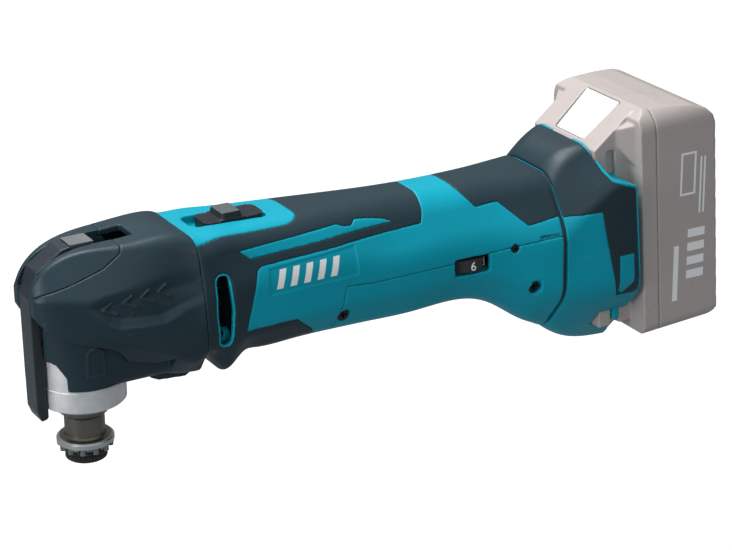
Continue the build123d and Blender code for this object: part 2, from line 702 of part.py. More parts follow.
with BuildPart() as motor_can:
    with BuildSketch(on_shaft(66)):
        Circle(21)
        Circle(19.2, mode=Mode.SUBTRACT)
    extrude(amount=58)
    with BuildSketch(on_shaft(66)):
        Circle(19.5)
        Circle(6, mode=Mode.SUBTRACT)
        with PolarLocations(12.5, 6):
            Circle(2.6, mode=Mode.SUBTRACT)
    extrude(amount=1.6)
PIECES["motor_can"] = motor_can

with BuildPart() as magnets:
    with BuildSketch(on_shaft(74)):
        Circle(19.2)
        Circle(16, mode=Mode.SUBTRACT)
        with PolarLocations(0, 2):
            with Locations((17, 0)):
                Rectangle(12, 7, mode=Mode.SUBTRACT)
    extrude(amount=40)
PIECES["magnets"] = magnets

with BuildPart() as armature:
    with BuildSketch(on_shaft(76)):
        Circle(15.6)
        Circle(4, mode=Mode.SUBTRACT)
        with PolarLocations(10.8, 12):
            Circle(2.2, mode=Mode.SUBTRACT)
        with PolarLocations(14.6, 12):
            Rectangle(4, 1.2, mode=Mode.SUBTRACT)
    extrude(amount=34)
PIECES["armature"] = armature

with BuildPart() as windings:
    with BuildSketch(on_shaft(76)):
        with PolarLocations(10.8, 12):
            Circle(2.0)
    extrude(amount=34)
    for x, length in ((71.6, 4.4), (110, 4.4)):
        with BuildSketch(on_shaft(x)):
            Circle(13.3)
            Circle(5.6, mode=Mode.SUBTRACT)
        extrude(amount=length)
PIECES["windings"] = windings

with BuildPart() as commutator:
    with BuildSketch(on_shaft(115.5)):
        Circle(7.6)
        Circle(4, mode=Mode.SUBTRACT)
    extrude(amount=11)
    with BuildSketch(on_shaft(116.5)):
        with PolarLocations(7.5, 12):
            Rectangle(1.4, 0.5)
    extrude(amount=11, mode=Mode.SUBTRACT)
PIECES["commutator"] = commutator

with BuildPart() as end_bell:
    with BuildSketch(on_shaft(124.2)):
        Circle(21)
        Circle(8.4, mode=Mode.SUBTRACT)
    extrude(amount=8)
    with BuildSketch(on_shaft(128.2)):
        Circle(8.5)
        Circle(8, mode=Mode.SUBTRACT)
    extrude(amount=8)
    with BuildSketch(on_shaft(124.2)):
        Circle(19.1)
        Circle(16.4, mode=Mode.SUBTRACT)
    extrude(amount=-8)
    with BuildSketch(Plane.XZ):
        with Locations((121.5, MOTOR_Z)):
            Rectangle(12.4, 7.2)
    extrude(amount=30, both=True, mode=Mode.SUBTRACT)
    with BuildSketch(on_shaft(132.2)):
        Circle(12)
        Circle(8, mode=Mode.SUBTRACT)
    extrude(amount=4)
PIECES["end_bell"] = end_bell

PIECES["motor_bearing_rear"] = ball_bearing(on_shaft(130.6), 4 + FIT, 8, 5)

with BuildPart() as brushes:
    for side in (-1, 1):
        with BuildSketch(Plane.XZ.offset(side * 7.7)):
            with Locations((121, MOTOR_Z)):
                Rectangle(8, 6)
        extrude(amount=side * 8.5)
PIECES["carbon_brushes"] = brushes

with BuildPart() as brush_caps:
    for side in (-1, 1):
        with BuildSketch(Plane.XZ.offset(side * 16.4)):
            with Locations((121, MOTOR_Z)):
                Rectangle(9, 7)
        extrude(amount=side * 2.4)
PIECES["brush_caps"] = brush_caps

# ================================================================ switch and speed control
with BuildPart() as switch_slider:
    with BuildSketch(Plane.XY.offset(90.6)):
        with Locations((75.5, 0)):
            RectangleRounded(30, 14.4, 4)
    extrude(amount=4.4)
    with BuildSketch(Plane.XY.offset(95)):
        with Locations((74, 0)):
            RectangleRounded(11, 14, 2)
    extrude(amount=2.8, taper=18)
    with BuildSketch(Plane.XZ):
        with Locations(*[(x, 95.2) for x in (62.5, 64.9, 67.3, 81.5, 83.9, 86.3, 88.7)]):
            Circle(0.7)
    extrude(amount=8, both=True, mode=Mode.SUBTRACT)
    with BuildSketch(Plane.XY.offset(87.4)):
        with Locations((76.6, 0)):
            Rectangle(14, 4.8)
    extrude(amount=3.4)
PIECES["switch_slider"] = switch_slider

with BuildPart() as switch_link:
    with BuildSketch(Plane.XY.offset(86)):
        with Locations((105, 0)):
            Rectangle(72, 8)
    extrude(amount=1.3)
PIECES["switch_link"] = switch_link

with BuildPart() as switch_unit:
    with Locations((153, 0, 66)):
        Box(21, 15, 18, align=BASE)
    with Locations((153, 0, 64)):
        Box(16, 2, 4, align=BASE)
PIECES["switch_unit"] = switch_unit

DIAL = (187.5, -19.3)
with BuildPart() as speed_dial:
    with BuildSketch(Plane.XY.offset(53)):
        with Locations(DIAL):
            Circle(10.4)
            with PolarLocations(10.6, 36):
                Circle(0.45, mode=Mode.SUBTRACT)
            Circle(1.5, mode=Mode.SUBTRACT)
    extrude(amount=6)
PIECES["speed_dial"] = speed_dial

with BuildPart() as dial_board:
    with BuildSketch(Plane.XY.offset(50.6)):
        with Locations((DIAL[0], -14)):
            Rectangle(26, 22)
    extrude(amount=1.6)
    with BuildSketch(Plane.XY.offset(52.2)):
        with Locations(DIAL):
            Circle(1.5 - FIT)
    extrude(amount=6.6)
PIECES["dial_board"] = dial_board

with BuildPart() as controller:
    with Locations((196, 3, 63)):
        Box(46, 26, 11, align=BASE)
    with BuildSketch(Plane.XY.offset(74)):
        with Locations((196, 3)):
            with GridLocations(5, 0, 8, 1):
                Rectangle(1.6, 20)
    extrude(amount=4)
PIECES["speed_controller"] = controller

# ================================================================ rear joint and battery holder
with BuildPart() as joint_gasket:
    with BuildSketch(Plane.YZ.offset(HANDLE_BACK)):
        with BuildLine():
            Polyline((17.5, 88.6), (34.6, 64), (34.6, 33), (17, 12), (-17, 12), (-34.6, 33), (-34.6, 64),
                     (-17.5, 88.6), close=True)
        make_face()
        fillet(vertices(), 12)
        offset(amount=-5, mode=Mode.SUBTRACT)
    extrude(amount=2.5)
PIECES["joint_gasket"] = joint_gasket

NECK_BASE = -9.0
with BuildPart() as holder_body:
    add(holder_outer)
    add(side_prism(RIM_ZONE), mode=Mode.INTERSECT)

holder_cavity = casing(HOLDER, WALL)
with BuildPart() as holder_chamber:
    add(holder_cavity)
    with BuildSketch(Plane.XZ):
        with BuildLine():
            Polyline((239.5, 120), (239.5, -20), (259.5, -20), (252.0, 120), close=True)
        make_face()
    extrude(amount=60, both=True, mode=Mode.INTERSECT)

with BuildPart() as battery_holder_full:
    add(holder_body.part)
    add(holder_chamber.part, mode=Mode.SUBTRACT)
    with BuildSketch(Plane.YZ.offset(230)):
        with Locations((0, 56)):
            RectangleRounded(30, 50, 6)
    extrude(amount=12, mode=Mode.SUBTRACT)
    add(pack_box(262.0, 300, RAIL_HALF + 0.6, NECK_BASE - 0.5, 140), mode=Mode.SUBTRACT)
    for side in (-1, 1):
        with BuildSketch(PACK_FACE.offset(270)):
            with Locations((side * 25.6, 32)):
                Rectangle(3.6, 76)
        extrude(amount=3.5)
    # latch channel and terminal slots in the front wall of the pocket
    for w in (-11, 11):
        with BuildSketch(PACK_FACE.offset(250)):
            with Locations((w, 24)):
                Rectangle(1.2, 14.6)
        extrude(amount=15, mode=Mode.SUBTRACT)
    with BuildSketch(PACK_FACE.offset(259.6)):
        with Locations((0, 95)):
            Rectangle(17, 44)
    extrude(amount=6, mode=Mode.SUBTRACT)
    with BuildSketch(Plane.YZ.offset(230)):
        with Locations(*HOLDER_SCREW_GRID):
            Circle(2.0)
    extrude(amount=15, mode=Mode.SUBTRACT)

with BuildPart() as holder_skin:
    add(holder_body.part)
    add(casing(HOLDER, SKIN), mode=Mode.SUBTRACT)

with BuildPart() as holder_grip:
    add(holder_skin.part)
    add(side_prism(HOLDER_SOFT_ZONE), mode=Mode.INTERSECT)
    add(side_prism([(x - 1.2, z - 1.0) for x, z in RIM_ZONE[:7]] + [(230, 28), (230, 109)]),
        mode=Mode.INTERSECT)
    add(side_prism(PLATE_ZONE), mode=Mode.SUBTRACT)
PIECES["holder_grip"] = holder_grip

with BuildPart() as battery_holder:
    add(battery_holder_full.part)
    add(holder_grip.part, mode=Mode.SUBTRACT)
PIECES["battery_holder"] = battery_holder

PIECES["holder_screws"] = screws([(242, y, z) for y, z in HOLDER_SCREW_GRID], (-1, 0, 0),
                                 10, 1.85, 3.4, 2.4)

with BuildPart() as terminal_block:
    add(pack_box(252, 257.2, 17, 8, 44))
PIECES["terminal_block"] = terminal_block

with BuildPart() as terminal_blades:
    for w in (-11, 11):
        with BuildSketch(PACK_FACE.offset(257.3)):
            with Locations((w, 24)):
                Rectangle(0.8, 14)
        extrude(amount=11)
PIECES["terminal_blades"] = terminal_blades

# ================================================================ battery pack

REAR_PROFILE = [(PACK_PARTING - 20, PACK_BASE), (321, PACK_BASE), (PACK_REAR, -10.5), (PACK_REAR, 88),
                (324.2, 92), (320.8, 95.6), (314, 98.4), (300, 100.2), (PACK_PARTING - 20, 101.4)]
REAR_INNER = [(PACK_PARTING - 20, PACK_BASE + 2), (320, PACK_BASE + 2), (PACK_REAR - 2.2, -9.6),
              (PACK_REAR - 2.2, 87.4), (318.6, 93.8), (313, 96.1), (PACK_PARTING - 20, 98.8)]
with BuildPart() as pack_rear_case:
    add(pack_shell(PACK_PARTING + 0.1, PACK_REAR, 0, REAR_PROFILE))
    add(pack_shell(PACK_PARTING - 1, PACK_REAR, 2.2, REAR_INNER), mode=Mode.SUBTRACT)
PIECES["pack_rear_case"] = pack_rear_case

FRONT_PROFILE = [(PACK_RIM, PACK_BASE + 0.5), (PACK_PARTING - 0.1, PACK_BASE), (PACK_PARTING - 0.1, 101),
                 (287.6, 101), (PACK_RIM, 97.2)]
FRONT_INNER = [(PACK_RIM + 2.2, PACK_BASE + 2), (PACK_PARTING + 1, PACK_BASE + 2), (PACK_PARTING + 1, 98.6),
               (288.5, 98.6), (PACK_RIM + 2.2, 95.2)]
with BuildPart() as pack_neck:
    with BuildSketch(PACK_SIDE):
        with BuildLine():
            Polyline((PACK_FRONT, NECK_BASE), (PACK_RIM + 3, NECK_BASE), (PACK_RIM + 3, 99.6),
                     (PACK_FRONT, 84.0), close=True)
        make_face()
    extrude(amount=RAIL_HALF, both=True)
with BuildPart() as pack_neck_space:
    with BuildSketch(PACK_SIDE):
        with BuildLine():
            Polyline((PACK_FRONT + 2, NECK_BASE + 2), (PACK_RIM + 4, NECK_BASE + 2), (PACK_RIM + 4, 96.8),
                     (PACK_FRONT + 2, 82.2), close=True)
        make_face()
    extrude(amount=RAIL_HALF - 5.4, both=True)

BUTTON_TILT = radians(36.7)
BUTTON_PLANE = Plane(origin=PACK.origin + PACK.x_dir * 275.2 + PACK.z_dir * 93.9, x_dir=(0, 1, 0),
                     z_dir=PACK.z_dir * cos(BUTTON_TILT) - PACK.x_dir * sin(BUTTON_TILT))
with BuildPart() as button_window:
    with BuildSketch(BUTTON_PLANE.offset(-8)):
        Trapezoid(28, 25.5, 94, rotation=180)
    extrude(amount=14)

with BuildPart() as pack_front_case:
    add(pack_shell(PACK_RIM, PACK_PARTING - 0.1, 0, FRONT_PROFILE))
    add(pack_neck.part)
    # flared shoulders between the sliding block and the rim, above the holder
    with BuildSketch(PACK_FACE.offset(PACK_RIM - 7)):
        with Locations((0, 88)):
            Rectangle(2 * RAIL_HALF, 8)
    with BuildSketch(PACK_FACE.offset(PACK_RIM + 0.5)):
        with Locations((0, 84)):
            Rectangle(2 * PACK_HALF - 8, 22)
    loft()
    add(pack_shell(PACK_RIM + 2.2, PACK_PARTING + 1, 2.2, FRONT_INNER), mode=Mode.SUBTRACT)
    add(pack_neck_space.part, mode=Mode.SUBTRACT)
    for side in (-1, 1):
        with BuildSketch(PACK_FACE.offset(269.4)):
            with Locations((side * 25.2, 36)):
                Rectangle(4.4, 92)
        extrude(amount=4.7, mode=Mode.SUBTRACT)
    for w in (-11, 11):
        with BuildSketch(PACK_FACE.offset(PACK_FRONT - 1)):
            with Locations((w, 12)):
                Rectangle(2.4, 46)
        extrude(amount=9, mode=Mode.SUBTRACT)
    add(button_window.part, mode=Mode.SUBTRACT)
    with BuildSketch(PACK_FACE.offset(PACK_FRONT - 1)):
        with Locations((0, 76.6)):
            Rectangle(15, 11.4)
    extrude(amount=6, mode=Mode.SUBTRACT)
PIECES["pack_front_case"] = pack_front_case

with BuildPart() as pack_button:
    with BuildSketch(BUTTON_PLANE.offset(-3.2)):
        Trapezoid(27, 24.5, 94, rotation=180)
    extrude(amount=1.6)
    with BuildSketch(PACK_SIDE):
        with BuildLine():
            Polyline((269, 86.3), (273, 89.3), (273, 75), (260.8, 75), (260.8, 77), (262, 78.5),
                     (269, 78.5), close=True)
        make_face()
    extrude(amount=6, both=True)
PIECES["pack_button"] = pack_button

with BuildPart() as pack_board:
    add(pack_box(273.6, 275.2, 17, 6, 62))
PIECES["pack_board"] = pack_board

with BuildPart() as pack_contacts:
    for w in (-11, 11):
        with BuildSketch(PACK.offset(18)):
            with Locations((269, w)):
                Rectangle(9, 5)
            with Locations((268, w)):
                Rectangle(9, 1.6, mode=Mode.SUBTRACT)
        extrude(amount=14)
PIECES["pack_contacts"] = pack_contacts

with BuildPart() as pack_cells:
    for v in (294.9, 313.9):
        for u in (4, 23, 42, 61, 80):
            centre = PACK.x_dir * v + PACK.z_dir * u
            with BuildSketch(Plane(origin=centre + Vector(0, 32.5, 0), z_dir=(0, -1, 0))):
                Circle(9.2)
            extrude(amount=65)
PIECES["pack_cells"] = pack_cells


# ================================================================ wiring
PIECES["power_leads"] = leads([
    [(248.4, 8, 54), (238, 7, 56), (227, 6, 62), (220.8, 6, 68)],
    [(136.8, 10.5, 70), (150, 11.5, 73), (161, 11, 72), (170.6, 8, 69)],
], LEAD_R)

for name, piece in PIECES.items():
    piece.part.label = name
    export_step(piece.part, f"parts/{name}.step")
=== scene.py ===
import json
import math

import bmesh
import bpy
import numpy as np
from mathutils import Matrix, Vector
from mathutils.bvhtree import BVHTree

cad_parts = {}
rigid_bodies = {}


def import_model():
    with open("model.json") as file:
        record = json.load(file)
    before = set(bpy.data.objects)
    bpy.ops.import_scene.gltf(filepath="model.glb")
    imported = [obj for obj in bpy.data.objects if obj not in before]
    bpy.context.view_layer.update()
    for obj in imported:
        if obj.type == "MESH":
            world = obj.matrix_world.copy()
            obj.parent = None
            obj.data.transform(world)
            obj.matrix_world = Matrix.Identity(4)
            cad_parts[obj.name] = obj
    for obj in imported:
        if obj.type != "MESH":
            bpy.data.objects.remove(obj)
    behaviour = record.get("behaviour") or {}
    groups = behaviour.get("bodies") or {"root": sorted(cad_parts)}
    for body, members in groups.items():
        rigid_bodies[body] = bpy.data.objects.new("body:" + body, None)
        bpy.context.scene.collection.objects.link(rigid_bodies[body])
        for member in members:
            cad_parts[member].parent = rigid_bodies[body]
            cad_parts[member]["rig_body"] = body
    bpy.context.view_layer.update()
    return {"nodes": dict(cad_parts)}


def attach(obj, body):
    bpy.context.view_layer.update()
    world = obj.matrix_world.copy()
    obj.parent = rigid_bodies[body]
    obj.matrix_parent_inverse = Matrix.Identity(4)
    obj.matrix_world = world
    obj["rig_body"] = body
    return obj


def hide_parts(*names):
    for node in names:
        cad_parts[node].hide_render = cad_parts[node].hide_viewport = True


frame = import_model()
NODES = frame["nodes"]
MM = 0.001

# ================================================================ materials


class Look:
    """A node material, built up step by step."""

    def __init__(self, name):
        self.material = bpy.data.materials.new(name)
        self.material.use_nodes = True
        self.nodes = self.material.node_tree.nodes
        self.links = self.material.node_tree.links
        self.shader = self.nodes["Principled BSDF"]
        self.place = self.add("ShaderNodeTexCoord").outputs["Object"]

    def add(self, kind, **inputs):
        node = self.nodes.new(kind)
        for key, value in inputs.items():
            node.inputs[key].default_value = value
        return node

    def join(self, source, target):
        self.links.new(source, target)

    def noise(self, scale, detail=4.0, rough=0.55):
        node = self.add("ShaderNodeTexNoise", Scale=scale, Detail=detail, Roughness=rough)
        self.join(self.place, node.inputs["Vector"])
        return node.outputs["Fac"]

    def spread(self, source, low, high, low_out, high_out):
        node = self.add("ShaderNodeMapRange")
        for key, value in (("From Min", low), ("From Max", high),
                           ("To Min", low_out), ("To Max", high_out)):
            node.inputs[key].default_value = value
        self.join(source, node.inputs["Value"])
        return node.outputs["Result"]

    def mix(self, factor, dark, light):
        node = self.nodes.new("ShaderNodeMix")
        node.data_type = "RGBA"
        node.inputs["A"].default_value = (*dark, 1)
        node.inputs["B"].default_value = (*light, 1)
        self.join(factor, node.inputs["Factor"])
        return node.outputs["Result"]

    def blend(self, factor, first, second):
        node = self.nodes.new("ShaderNodeMix")
        node.data_type = "RGBA"
        self.join(factor, node.inputs["Factor"])
        self.join(first, node.inputs["A"])
        self.join(second, node.inputs["B"])
        return node.outputs["Result"]

    def above(self, height):
        """1 above a height in metres, 0 below it."""
        split = self.nodes.new("ShaderNodeSeparateXYZ")
        self.join(self.place, split.inputs["Vector"])
        return self.spread(split.outputs["Z"], height - 0.00005, height + 0.00005, 0, 1)

    def bump(self, height, strength, distance, before=None):
        node = self.add("ShaderNodeBump", Strength=strength, Distance=distance)
        self.join(height, node.inputs["Height"])
        if before is not None:
            self.join(before, node.inputs["Normal"])
        return node.outputs["Normal"]


def shade(colour, amount):
    return tuple(min(1.0, c * amount) for c in colour)


def plastic(name, colour, rough, grain=0.25, grain_scale=1600, drift=0.1, shine=0.28, worn=0.12):
    """Moulded plastic or rubber: slow colour drift, fine spark-eroded grain and paler worn edges."""
    look = Look(name)
    cloud = look.spread(look.noise(22, 3), 0.3, 0.7, 0, 1)
    body = look.mix(cloud, shade(colour, 1 - drift), shade(colour, 1 + drift))
    edge = look.spread(look.add("ShaderNodeNewGeometry").outputs["Pointiness"], 0.52, 0.6, 0, worn)
    wear = look.nodes.new("ShaderNodeMix")
    wear.data_type = "RGBA"
    look.join(edge, wear.inputs["Factor"])
    look.join(body, wear.inputs["A"])
    wear.inputs["B"].default_value = (*[0.35 + 0.5 * c for c in colour], 1)
    look.join(wear.outputs["Result"], look.shader.inputs["Base Color"])
    smear = look.spread(look.noise(60, 6, 0.7), 0.3, 0.7, rough - 0.06, rough + 0.08)
    look.join(smear, look.shader.inputs["Roughness"])
    fine = look.bump(look.noise(grain_scale, 3, 0.6), grain, 0.00012)
    wave = look.bump(look.noise(70, 2), 0.06, 0.0008, fine)
    look.join(wave, look.shader.inputs["Normal"])
    look.shader.inputs["Specular IOR Level"].default_value = shine
    return look.material


def metal(name, colour, rough, brushed=None, grain=0.12, drift=0.12, bands=()):
    """Metal with a slow tint, roughness smears and turning or brushing marks along one direction.

    bands is a list of (height in millimetres, colour): from each height up, that colour is used.
    """
    look = Look(name)
    stretch = look.nodes.new("ShaderNodeMapping")
    stretch.inputs["Scale"].default_value = brushed or (1, 1, 1)
    look.join(look.place, stretch.inputs["Vector"])
    marks = look.add("ShaderNodeTexNoise", Scale=900.0, Detail=5.0, Roughness=0.6)
    look.join(stretch.outputs["Vector"], marks.inputs["Vector"])
    cloud = look.spread(look.noise(90, 5), 0.3, 0.7, 0, 1)
    tint = look.mix(cloud, shade(colour, 1 - drift), shade(colour, 1 + drift))
    for start, band_colour in bands:
        band = look.mix(cloud, shade(band_colour, 1 - drift), shade(band_colour, 1 + drift))
        tint = look.blend(look.above(start * MM), tint, band)
    look.join(tint, look.shader.inputs["Base Color"])
    smear = look.spread(marks.outputs["Fac"], 0.3, 0.7, rough - 0.07, rough + 0.09)
    look.join(smear, look.shader.inputs["Roughness"])
    look.join(look.bump(marks.outputs["Fac"], grain, 0.0001), look.shader.inputs["Normal"])
    look.shader.inputs["Metallic"].default_value = 1.0
    return look.material


TEAL = plastic("teal_plastic", (0.0, 0.315, 0.43), 0.38, drift=0.05, shine=0.2, worn=0.05)
RUBBER = plastic("soft_rubber", (0.011, 0.031, 0.043), 0.40, grain=0.4, drift=0.1, shine=0.34,
                 worn=0.05)
BLACK = plastic("black_plastic", (0.014, 0.018, 0.022), 0.36, worn=0.06)
LEVER = plastic("lever_plastic", (0.014, 0.022, 0.030), 0.3, shine=0.5, worn=0.08)
TAUPE = plastic("pack_plastic", (0.44, 0.395, 0.38), 0.30, grain=0.12, drift=0.03)
WHITE = plastic("white_plastic", (0.86, 0.86, 0.85), 0.38, grain=0.15, drift=0.02)
PRINT = plastic("white_print", (0.88, 0.88, 0.88), 0.5, grain=0.1, drift=0.02, worn=0.0)
ALUMINIUM = metal("cast_aluminium", (0.90, 0.93, 0.96), 0.5, grain=0.3)
NECK_BROWN, RING_GREY = (0.20, 0.19, 0.165), (0.62, 0.66, 0.66)
NECK = metal("turned_steel", NECK_BROWN, 0.34, (1, 1, 9))
SPINDLE = metal("spindle_steel", (0.27, 0.29, 0.30), 0.36, (1, 1, 9),
                bands=[(1.4, RING_GREY), (4.1, NECK_BROWN)])
BAND = plastic("slider_band", (0.085, 0.10, 0.11), 0.5, grain=0.3, worn=0.0)
PLATE = metal("hinge_plate", (0.42, 0.44, 0.46), 0.34, (9, 1, 1))
OXIDE = metal("black_oxide", (0.060, 0.058, 0.056), 0.38, grain=0.2)
STEEL = metal("bright_steel", (0.62, 0.63, 0.65), 0.28, (9, 1, 1))
COPPER = metal("copper", (0.75, 0.40, 0.24), 0.33)
CARBON = metal("carbon", (0.10, 0.10, 0.11), 0.6, grain=0.3)
BOARD = plastic("circuit_board", (0.02, 0.16, 0.07), 0.3, grain=0.1)
WRAP = plastic("cell_wrap", (0.05, 0.26, 0.18), 0.22, grain=0.05)
WIRE = plastic("wire", (0.012, 0.012, 0.013), 0.42, grain=0.1)


def lens_look():
    look = Look("led_lens")
    rings = look.add("ShaderNodeTexWave", Scale=500.0, Distortion=0.4)
    look.join(look.place, rings.inputs["Vector"])
    clear = look.mix(rings.outputs["Fac"], (0.75, 0.82, 0.9), (0.95, 0.97, 1.0))
    look.join(clear, look.shader.inputs["Base Color"])
    look.join(look.bump(rings.outputs["Fac"], 0.2, 0.0002), look.shader.inputs["Normal"])
    look.shader.inputs["Roughness"].default_value = 0.12
    look.shader.inputs["Transmission Weight"].default_value = 0.35
    return look.material


LENS = lens_look()

LOOKS = {
    TEAL: "upper_housing lower_cover battery_holder",
    RUBBER: "front_grip rear_grip holder_grip head_cover head_skirt lever_bracket joint_gasket"
            " spindle_seal",
    BLACK: "switch_slider switch_link speed_dial fan fan_baffle end_bell terminal_block switch_unit"
           " speed_controller",
    LEVER: "lever",
    ALUMINIUM: "gear_housing",
    PLATE: "lever_cam",
    SPINDLE: "spindle",
    NECK: "spindle_bush swing_fork clamp_sleeve clamp_jaws motor_can",
    OXIDE: "holder_bolt head_screws holder_screws seam_screws cover_screws lever_pin",
    STEEL: "rotor_shaft armature spindle_bearing_lower spindle_bearing_upper motor_bearing_front"
           " motor_bearing_rear eccentric_bearing clamp_spring balance_weight terminal_blades",
    COPPER: "windings commutator pack_contacts brush_caps",
    CARBON: "carbon_brushes magnets",
    BOARD: "led_board dial_board pack_board",
    TAUPE: "pack_rear_case pack_front_case",
    WHITE: "pack_button",
    WRAP: "pack_cells",
    WIRE: "power_leads",
    LENS: "led_lens",
}


def dress(obj, material):
    obj.data.materials.clear()
    obj.data.materials.append(material)


for look_material, names in LOOKS.items():
    for node_name in names.split():
        dress(NODES[node_name], look_material)
left_plain = sorted(set(NODES) - {n for names in LOOKS.values() for n in names.split()})
assert not left_plain, left_plain

# ================================================================ shape tools (millimetres)


def coordinates(mesh):
    """Vertex places and normals as arrays, places in millimetres."""
    places = np.empty(len(mesh.vertices) * 3, np.float32)
    normals = np.empty(len(mesh.vertices) * 3, np.float32)
    mesh.vertices.foreach_get("co", places)
    mesh.vertices.foreach_get("normal", normals)
    return places.reshape(-1, 3).astype(float) * 1000, normals.reshape(-1, 3).astype(float)


def outline_depth(points, outline):
    """Signed distance of 2-D points to a closed outline, positive inside."""
    distance = np.full(len(points), 1e9)
    inside = np.zeros(len(points), bool)
    px, py = points[:, 0], points[:, 1]
    for (x0, y0), (x1, y1) in zip(outline, outline[1:] + outline[:1]):
        ex, ey = x1 - x0, y1 - y0
        along = np.clip(((px - x0) * ex + (py - y0) * ey) / (ex * ex + ey * ey), 0, 1)
        distance = np.minimum(distance, np.hypot(px - x0 - along * ex, py - y0 - along * ey))
        crosses = ((y0 > py) != (y1 > py)) & (px < ex * (py - y0) / (y1 - y0 + 1e-12) + x0)
        inside ^= crosses
    return np.where(inside, distance, -distance)


def line_distance(points, line):
    """Distance of 2-D points to an open line."""
    distance = np.full(len(points), 1e9)
    px, py = points[:, 0], points[:, 1]
    for (x0, y0), (x1, y1) in zip(line, line[1:]):
        ex, ey = x1 - x0, y1 - y0
        along = np.clip(((px - x0) * ex + (py - y0) * ey) / (ex * ex + ey * ey), 0, 1)
        distance = np.minimum(distance, np.hypot(px - x0 - along * ex, py - y0 - along * ey))
    return distance


def ramp(value, start, end):
    """Smooth step from 0 at start to 1 at end."""
    t = np.clip((value - start) / (end - start), 0, 1)
    return t * t * (3 - 2 * t)


def new_object(name, mesh, body, material):
    obj = bpy.data.objects.new(name, mesh)
    bpy.context.scene.collection.objects.link(obj)
    dress(obj, material)
    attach(obj, body)
    return obj


def refined(node, voxel, smooth, shape=None):
    """A fine, edge-softened copy of a CAD node with its moulded details, shown in the node's place."""
    source = NODES[node]
    work = bpy.data.objects.new("work", source.data.copy())
    bpy.context.scene.collection.objects.link(work)
    weld = work.modifiers.new("weld", "WELD")
    weld.merge_threshold = 1e-6
    remesh = work.modifiers.new("remesh", "REMESH")
    remesh.mode = "VOXEL"
    remesh.voxel_size = voxel * MM
    relax = work.modifiers.new("relax", "SMOOTH")
    relax.factor = 0.5
    relax.iterations = smooth
    bpy.context.view_layer.update()
    graph = bpy.context.evaluated_depsgraph_get()
    mesh = bpy.data.meshes.new_from_object(work.evaluated_get(graph))
    bpy.data.objects.remove(work)
    mesh.name = node + "_moulded"
    if shape:
        places, normals = coordinates(mesh)
        for step in shape:
            places += normals * step(places, normals)[:, None]
        mesh.vertices.foreach_set("co", (places * MM).astype(np.float32).ravel())
        mesh.update()
    mesh.shade_smooth()
    piece = new_object(node + "_moulded", mesh, source["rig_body"], source.data.materials[0])
    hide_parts(node)
    return piece


def facing_out(places, normals, height=60.0):
    """1 where the surface faces away from the tool's long axis."""
    radial = places[:, 1] * normals[:, 1] + (places[:, 2] - height) * normals[:, 2]
    reach = np.hypot(places[:, 1], places[:, 2] - height)
    return ramp(radial / np.maximum(reach, 1e-6), 0.1, 0.4)


def side_step(outline, depth, start, end):
    """Sinks (or raises, for a negative depth) what lies inside a side outline on both sides of the tool."""
    def step(places, normals):
        inside = outline_depth(places[:, [0, 2]], outline)
        return -depth * ramp(inside, start, end) * facing_out(places, normals)
    return step


def side_groove(line, depth, width):
    """A groove (or ridge, for a negative depth) along a line seen from the side."""
    def step(places, normals):
        near = line_distance(places[:, [0, 2]], line)
        return -depth * (1 - ramp(near, width * 0.3, width)) * facing_out(places, normals)
    return step


def painted(piece, material, condition):
    """Gives a second material to the faces whose middle and normal meet a condition."""
    mesh = piece.data
    mesh.materials.append(material)
    centres = np.empty(len(mesh.polygons) * 3, np.float32)
    normals = np.empty(len(mesh.polygons) * 3, np.float32)
    index = np.empty(len(mesh.polygons), np.int32)
    mesh.polygons.foreach_get("center", centres)
    mesh.polygons.foreach_get("normal", normals)
    mesh.polygons.foreach_get("material_index", index)
    chosen = condition(centres.reshape(-1, 3) * 1000, normals.reshape(-1, 3))
    index[chosen] = len(mesh.materials) - 1
    mesh.polygons.foreach_set("material_index", index)


def print_on(name, target, outlines, material, side, lift=0.06, cell=1.0):
    """Thin printed shapes laid on a piece; outlines are (x, z) millimetres seen from the side."""
    tree = BVHTree.FromPolygons([v.co for v in target.data.vertices],
                                [p.vertices for p in target.data.polygons])
    sheet = bmesh.new()
    for outline in outlines:
        sheet.faces.new([sheet.verts.new((x * MM, side * 0.2, z * MM)) for x, z in outline])
    for axis in (0, 2):
        ends = [v.co[axis] for v in sheet.verts]
        cut = min(ends) + cell * MM
        while cut < max(ends):
            direction = (1, 0, 0) if axis == 0 else (0, 0, 1)
            bmesh.ops.bisect_plane(sheet, geom=sheet.verts[:] + sheet.edges[:] + sheet.faces[:],
                                   plane_co=[cut * c for c in direction], plane_no=direction)
            cut += cell * MM
    missed = []
    for vertex in sheet.verts:
        hit, normal, face, reach = tree.ray_cast(vertex.co, (0, -side, 0))
        if hit is None:
            missed.append(vertex)
        else:
            vertex.co = hit + normal * lift * MM
    bmesh.ops.delete(sheet, geom=missed, context="VERTS")
    bmesh.ops.recalc_face_normals(sheet, faces=sheet.faces)
    for face in sheet.faces:
        if face.normal.y * side < 0:
            face.normal_flip()
    mesh = bpy.data.meshes.new(name)
    sheet.to_mesh(mesh)
    sheet.free()
    new_object(name, mesh, target["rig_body"], material)


# ================================================================ head
GRIP_RECESS = [(-6.8, 74.7), (2.5, 80.1), (16.1, 82.8), (32.6, 84.2), (52, 85.5), (52, 69), (28.5, 62),
               (7.6, 63), (3.1, 65.3)]
CHEVRON_TIPS = [(2.1, 72.2), (11, 74.3), (19.1, 75.4), (27.4, 76.1)]


def grip_recess(places, normals):
    inside = outline_depth(places[:, [0, 2]], GRIP_RECESS)
    fade = 1 - 0.75 * ramp(places[:, 0], 26, 47)
    upper = ramp(places[:, 2], 70, 84)
    width = 5.0 + 6.0 * upper
    return -2.3 * ramp(inside / width, 0, 1) * fade * facing_out(places, normals)


